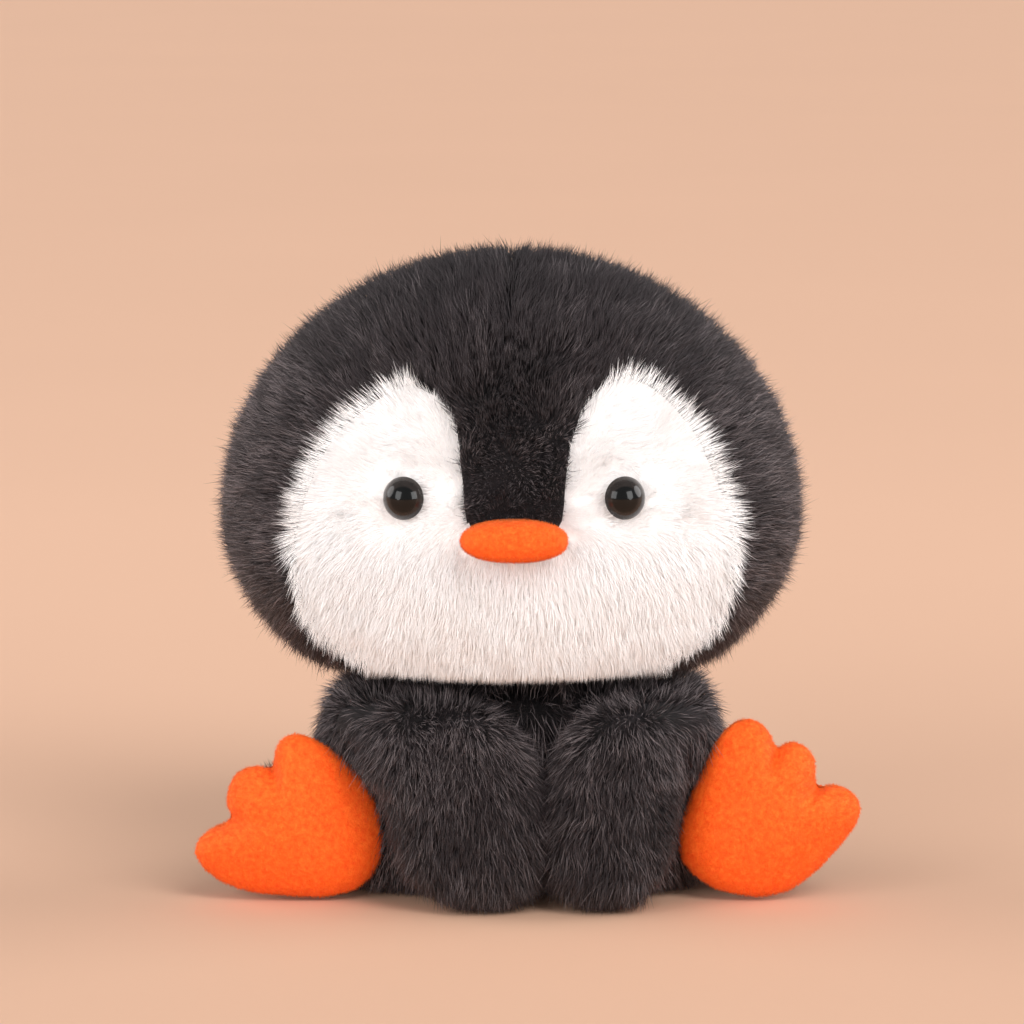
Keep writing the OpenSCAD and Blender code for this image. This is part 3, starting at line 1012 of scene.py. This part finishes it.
def torso_form(directions):
    """A squat pear with a flat seat, drawn in at the neck as its panels are."""
    middle = np.array([*TORSO_MIDDLE[:2], TORSO_HIPS])
    half = (TORSO_HIGH - TORSO_LOW) / 2 - 1 * MM
    upward = directions[:, [2]] > 0
    tall = np.where(upward, TORSO_HIGH[2] + 3 * MM - TORSO_HIPS, TORSO_HIPS)
    flat = directions / np.maximum(
        np.sum(np.abs(directions) ** 4, axis=1, keepdims=True) ** 0.25, 1e-9)
    points = middle + flat * np.hstack([
        np.full_like(tall, half[0]), np.full_like(tall, half[1]), tall])
    top = TORSO_HIGH[2] - 2.5 * MM
    over = points[:, 2] > top
    points[over, 2] = top + 0.4 * (points[over, 2] - top)
    points[:, 2] = np.maximum(points[:, 2], TORSO_LOW[2] + 0.5 * MM)
    return points


def downward(points, normals):
    """The body's nap lies down and outward, and stands on end on top."""
    spread = (points[:, 0] - TORSO_MIDDLE[0]) / (TORSO_HIGH[0] - TORSO_LOW[0])
    nap = np.column_stack([
        1.1 * spread, 0.25 * np.sign(points[:, 1]), -np.ones(len(points))])
    return nap * on_top(normals)


def on_top(normals):
    """Pile on an upward face stands on end and props up what rests on it."""
    return 1 - 0.8 * smooth_step(normals[:, [2]], 0.35, 0.85)


class PENGUIN_OT_torso(bpy.types.Operator):
    """Sews and stuffs the torso, packs the neck and grows the body's pile"""

    bl_idname = "penguin.torso"
    bl_label = "Torso"

    def execute(self, context):
        skin = round_form("torso_skin", torso_form, 6)
        stuff(skin, 4 * MM, pressure=3, most=1.5 * MM)
        points = coordinates(skin.data)
        points[:, 2] = np.maximum(points[:, 2], 0.3 * MM)
        set_coordinates(skin.data, points)
        p = pile()
        jobs = (
            ("chest_pile", p.front_density * 0.42, lambda q: q[:, 1] < TORSO_MIDDLE[1]),
            ("rump_pile", p.back_density, lambda q: q[:, 1] >= TORSO_MIDDLE[1]),
        )
        for number, (name, density, where) in enumerate(jobs):
            # The body's pile is painted paler by a fixed lift, chest and rump alike: painted
            # light that brightens the chest in the head's shade.
            tufts = grow(
                name, skin, density, p.body_length, p.strand_width * 1.35,
                lambda q: where(q) * (q[:, 2] > 3 * MM), downward,
                trim=chest_trim, lift=lambda q: np.full(len(q), 0.4), seed=40 + number)
            finish_piece(rest_on_table(tufts), "torso", black_pile_material())
        finish_piece(
            skin, "torso", black_backing_material(),
            ["body_front", "body_back_left", "body_back_right", "body_base", "body_stuffing"])
        low, high = span("neck_stuffing")
        middle, half = (low + high) / 2, (high - low) / 2
        wad = round_form("neck_wad", lambda d: middle + d * (half - 1 * MM) * (
            1 + 0.03 * ripple(d, 0.9, np.random.default_rng(pile().seed))[:, [0]]), 4)
        finish_piece(wad, "neck", filling_material(), ["neck_stuffing"])
        return {"FINISHED"}


def near_table(points):
    """Pile near the table is shorter."""
    return 0.55 + 0.45 * smooth_step(points[:, 2], 2 * MM, 14 * MM)


def chest_trim(points):
    """The chest's pile is long between the flippers' tops, and fills the gap there."""
    beside = np.abs(points[:, 0] - CHEST_X) / (26 * MM)
    chest = np.exp(-beside**2) * (points[:, 1] < TORSO_MIDDLE[1])
    return near_table(points) * (1 + 1.1 * chest * smooth_step(points[:, 2], 36 * MM, 58 * MM))


def rest_on_table(tufts):
    """Strands that would pass through the table lie flat on it."""
    points = coordinates(tufts.data)
    height = points[:, 2]
    points[:, 2] = np.where(height < 0.6 * MM, 0.3 * MM + 0.1 * np.abs(height), height)
    set_coordinates(tufts.data, points)
    return tufts


# ------------------------------------------------------------------ flippers


def furry_limb(name, stuffing):
    """A limb's furry skin, sewn round its stuffing and swelled."""
    skin = skin_round(name, stuffing, 1.8 * MM, 2.2 * MM)
    stuff(skin, 2.8 * MM, pressure=3, most=1.5 * MM)
    return skin


SHOULDER_WRAP = 17 * MM  # how far a flipper's outer upper corner reaches back


def bend_back(skin, sign):
    """Bends a flipper's outer upper corner back round the torso."""
    points = coordinates(skin.data)
    outer = smooth_step(sign * points[:, 0], 34 * MM, 68 * MM)
    points[:, 1] += SHOULDER_WRAP * outer * smooth_step(points[:, 2], 26 * MM, 52 * MM)
    set_coordinates(skin.data, points)
    smooth(skin)


class PENGUIN_OT_flippers(bpy.types.Operator):
    """Sews and stuffs the two flippers and grows their pile"""

    bl_idname = "penguin.flippers"
    bl_label = "Flippers"

    def execute(self, context):
        p = pile()
        for side, sign in SIDES.items():
            nodes = [f"flipper_{part}_{side}" for part in ("front", "back", "stuffing")]
            low, high = span(*nodes)
            middle = (low + high) / 2
            body = "flipper_" + side
            skin = furry_limb(f"flipper_skin_{side}", nodes[2])
            bend_back(skin, sign)

            def comb(points, normals):
                off = (points[:, 0] - middle[0]) / (high[0] - low[0])
                top = smooth_step(points[:, 2], 40 * MM, 66 * MM)
                nap = np.column_stack([
                    0.5 * off - 0.5 * sign * (1 - top) * (sign * off > 0.25),
                    np.zeros(len(points)), -np.ones(len(points))])
                return nap * (1 - 0.7 * smooth_step(points[:, 2], 60 * MM, 68 * MM))[:, None]

            # The flippers' pile is painted paler, and more so towards their tops: painted light
            # where they catch the light.
            tufts = grow(
                f"flipper_pile_{side}", skin, p.front_density, p.body_length,
                p.strand_width, lambda q: 0.25 + 0.75 * (q[:, 1] < middle[1] + 3 * MM),
                comb, pull=0.2, trim=lambda q: near_table(q) * (
                    1 - 0.35 * (sign * q[:, 0] > 40 * MM) * (q[:, 2] < 46 * MM)),
                lift=lambda q: 0.12 + 0.3 * smooth_step(q[:, 2], 30 * MM, 66 * MM),
                seed=50 + sign)
            finish_piece(rest_on_table(tufts), body, black_pile_material())
            finish_piece(
                skin, body, black_backing_material(), nodes)
        return {"FINISHED"}


# ------------------------------------------------------------------ legs and feet


class PENGUIN_OT_legs(bpy.types.Operator):
    """Sews and stuffs the two furry legs"""

    bl_idname = "penguin.legs"
    bl_label = "Legs"

    def execute(self, context):
        p = pile()
        for side, sign in SIDES.items():
            nodes = [f"leg_{part}_{side}" for part in ("top", "under", "stuffing")]
            body = "leg_" + side
            skin = furry_limb(f"leg_skin_{side}", nodes[2])
            tufts = grow(
                f"leg_pile_{side}", skin, p.back_density, 0.6 * p.body_length,
                p.strand_width, lambda q: 0.15 + 0.85 * (q[:, 2] > 4 * MM), downward,
                trim=near_table, seed=60 + sign)
            finish_piece(rest_on_table(tufts), body, black_pile_material())
            finish_piece(
                skin, body, black_backing_material(), nodes)
        return {"FINISHED"}


# The folds between the toes, from the notch in the rim inward: [across, height] in mm
# at both ends, and how deep the fold is at its notch
TOE_FOLDS = {
    "left": (((85, 49), (78, 40), 2.2), ((99, 38), (90, 31), 2.4)),
    "right": (((-82, 45), (-77, 38), 1.2), ((-96.5, 28), (-89, 24), 1.2)),
}


def toe_creases(points, side):
    """How far the folds between the toes draw each point of a foot in."""
    drawn = np.zeros(len(points))
    for notch, inner, depth in TOE_FOLDS[side]:
        notch, inner = np.array(notch) * MM, np.array(inner) * MM
        run = inner - notch
        offset = points[:, [0, 2]] - notch
        share = np.clip(offset @ run / (run @ run), 0, 1)
        gap = np.linalg.norm(offset - share[:, None] * run, axis=1)
        drawn += depth * MM * (1 - share) ** 1.3 * np.exp(-(gap / (1.8 * MM)) ** 2)
    return drawn


def foot_nap(points, normals):
    """The feet's nap lies down and to one side, as their cloth was cut."""
    return np.tile([0.3, 0, -0.8], (len(points), 1))


class PENGUIN_OT_feet(bpy.types.Operator):
    """Sews and stuffs the two velvet feet"""

    bl_idname = "penguin.feet"
    bl_label = "Feet"

    def execute(self, context):
        p = pile()
        for side, sign in SIDES.items():
            nodes = [f"foot_{part}_{side}" for part in ("sole", "upper", "stuffing")]
            low, high = span(*nodes)
            body = "leg_" + side
            skin = skin_round(f"foot_skin_{side}", nodes[2], 0.9 * MM, 0.9 * MM)
            stuff(skin, 1.5 * MM, most=1.0 * MM)
            points = coordinates(skin.data)
            middle = (low + high) / 2
            front = points[:, 1] < middle[1]
            points[:, 1] += np.where(front, 1, -0.6) * toe_creases(points, side)
            points[:, 2] = np.maximum(points[:, 2], 0.25 * MM)
            set_coordinates(skin.data, points)

            for part, seed, keep in (("sole", 70, -1), ("upper", 80, 1)):
                nap = grow(
                    f"foot_{part}_pile_{side}", skin,
                    p.velvet_density * (0.8 if part == "sole" else 0.3), p.velvet_length,
                    p.velvet_width, lambda q: keep * (q[:, 1] - middle[1]) > 0, foot_nap,
                    lean=(42, 66), pull=0.2, tuft=1.0 * MM, stray=0.5, soft=0.6,
                    patch=5 * MM, strand=SPIKE, seed=seed + sign)
                rest_on_table(nap)
                finish_piece(nap, body, velvet_pile_material())
            finish_piece(
                skin, body, velvet_backing_material(), nodes)
        return {"FINISHED"}


# ------------------------------------------------------------------ stage


VIEW_POINT = Vector((-2.7 * MM, 0, 126 * MM))
VIEW_TILT = math.radians(8)
VIEW_DISTANCE = 2.0
VIEW_WIDTH = 341.3 * MM  # how much of the scene the picture spans at VIEW_POINT


def studio_sun(name, place, strength, spread, shines=True):
    """Even light from afar, from the direction of place, softened over spread degrees.
    One that doesn't shine lights the cloth without showing in the eyes."""
    light = bpy.data.lights.new(name, "SUN")
    light.energy = strength
    light.angle = math.radians(spread)
    light.color = (1.0, 0.985, 0.98)
    lamp = link(name, light)
    lamp.visible_glossy = shines
    lamp.rotation_euler = Vector(place).to_track_quat("Z", "Y").to_euler()


def softbox(name, place, aim, size, power):
    """A small studio box whose shape shows in the eyes."""
    light = bpy.data.lights.new(name, "AREA")
    light.shape = "RECTANGLE"
    light.size, light.size_y = size
    light.energy = power
    lamp = link(name, light)
    lamp.location = place
    lamp.rotation_euler = (Vector(aim) - Vector(place)).to_track_quat("-Z", "Y").to_euler()


def floor_material(name):
    material, tree, shader = new_material(name, 0.75, Specular_IOR_Level=0.2)
    mottle, place = grain(tree, 3)
    split = node(tree, "SeparateXYZ")
    tree.links.new(place.outputs["Object"], split.inputs["Vector"])
    # The floor is painted darker towards the front: painted shade on the near floor, blended into
    # the even floor colour further back.
    painted_front_shade = ramp(tree, split.outputs["Y"], -0.5, 0.9, interpolation_type="SMOOTHSTEP")
    floor = colours().floor
    paper = blend_colours(tree, mottle.outputs["Fac"], opaque(floor, 0.985), opaque(floor, 1.015))
    near = blend_colours(tree, mottle.outputs["Fac"], opaque(floor, 0.755), opaque(floor, 0.785))
    final = blend_colours(tree, painted_front_shade, near, paper)
    tree.links.new(final, shader.inputs["Base Color"])
    return material


class PENGUIN_OT_stage(bpy.types.Operator):
    """Lays the floor, hangs the softboxes and sets the camera"""

    bl_idname = "penguin.stage"
    bl_label = "Stage"

    def execute(self, context):
        scene = context.scene
        scene.view_settings.view_transform = "Standard"
        deselect_all()
        bpy.ops.mesh.primitive_plane_add(size=60, location=(0, 0, 0))
        floor = bpy.context.object
        floor.name = "floor"
        paint(floor, floor_material("floor"))
        world = scene.world or bpy.data.worlds.new("World")
        scene.world = world
        world.use_nodes = True
        sky = world.node_tree.nodes["Background"]
        sky.inputs["Color"].default_value = (0.96, 0.98, 1.0, 1)
        sky.inputs["Strength"].default_value = 0.38
        middle = (0, 0, 0.12)
        studio_sun("key", (0.5, -1.0, 1.0), 1.1, 28, shines=False)
        studio_sun("low_fill", (-0.3, -1.0, 0.15), 1.25, 40, shines=False)
        studio_sun("rim_left", (-1.0, 0.15, 0.4), 1.1, 40)
        studio_sun("rim_right", (1.0, 0.15, 0.4), 1.4, 40)
        softbox("box_left", (-1.24, -1.42, 0.80), middle, (0.95, 1.15), 13)
        softbox("box_right", (1.24, -1.42, 0.80), middle, (0.95, 1.15), 15)
        camera = bpy.data.cameras.new("camera")
        camera.sensor_width = 36
        camera.lens = 36 * VIEW_DISTANCE / VIEW_WIDTH
        camera.clip_end = 100
        eye = link("camera", camera)
        back = Vector((0, -math.cos(VIEW_TILT), math.sin(VIEW_TILT)))
        eye.location = VIEW_POINT + back * VIEW_DISTANCE
        eye.rotation_euler = (math.pi / 2 - VIEW_TILT, 0, 0)
        scene.camera = eye
        return {"FINISHED"}


# ------------------------------------------------------------------ panel and run


PIECES = (
    PENGUIN_OT_head, PENGUIN_OT_eyes, PENGUIN_OT_beak, PENGUIN_OT_torso,
    PENGUIN_OT_flippers, PENGUIN_OT_legs, PENGUIN_OT_feet, PENGUIN_OT_stage,
)


class PENGUIN_PT_panel(bpy.types.Panel):
    bl_idname = "PENGUIN_PT_panel"
    bl_label = "Plush Penguin"
    bl_space_type = "VIEW_3D"
    bl_region_type = "UI"
    bl_category = "Plush"

    def draw(self, context):
        for group in (shape(), pile(), colours()):
            box = self.layout.box()
            for name in group.__annotations__:
                box.prop(group, name)
        for piece in PIECES:
            self.layout.operator(piece.bl_idname)


CLASSES = (PenguinShape, PenguinPile, PenguinColours, *PIECES, PENGUIN_PT_panel)


def register():
    for cls in CLASSES:
        bpy.utils.register_class(cls)
    bpy.types.Scene.penguin_shape = PointerProperty(type=PenguinShape)
    bpy.types.Scene.penguin_pile = PointerProperty(type=PenguinPile)
    bpy.types.Scene.penguin_colours = PointerProperty(type=PenguinColours)


def unregister():
    del bpy.types.Scene.penguin_shape
    del bpy.types.Scene.penguin_pile
    del bpy.types.Scene.penguin_colours
    for cls in reversed(CLASSES):
        bpy.utils.unregister_class(cls)


def main():
    register()
    for piece in PIECES:
        family, name = piece.bl_idname.split(".")
        getattr(getattr(bpy.ops, family), name)()


if __name__ == "__main__":
    main()
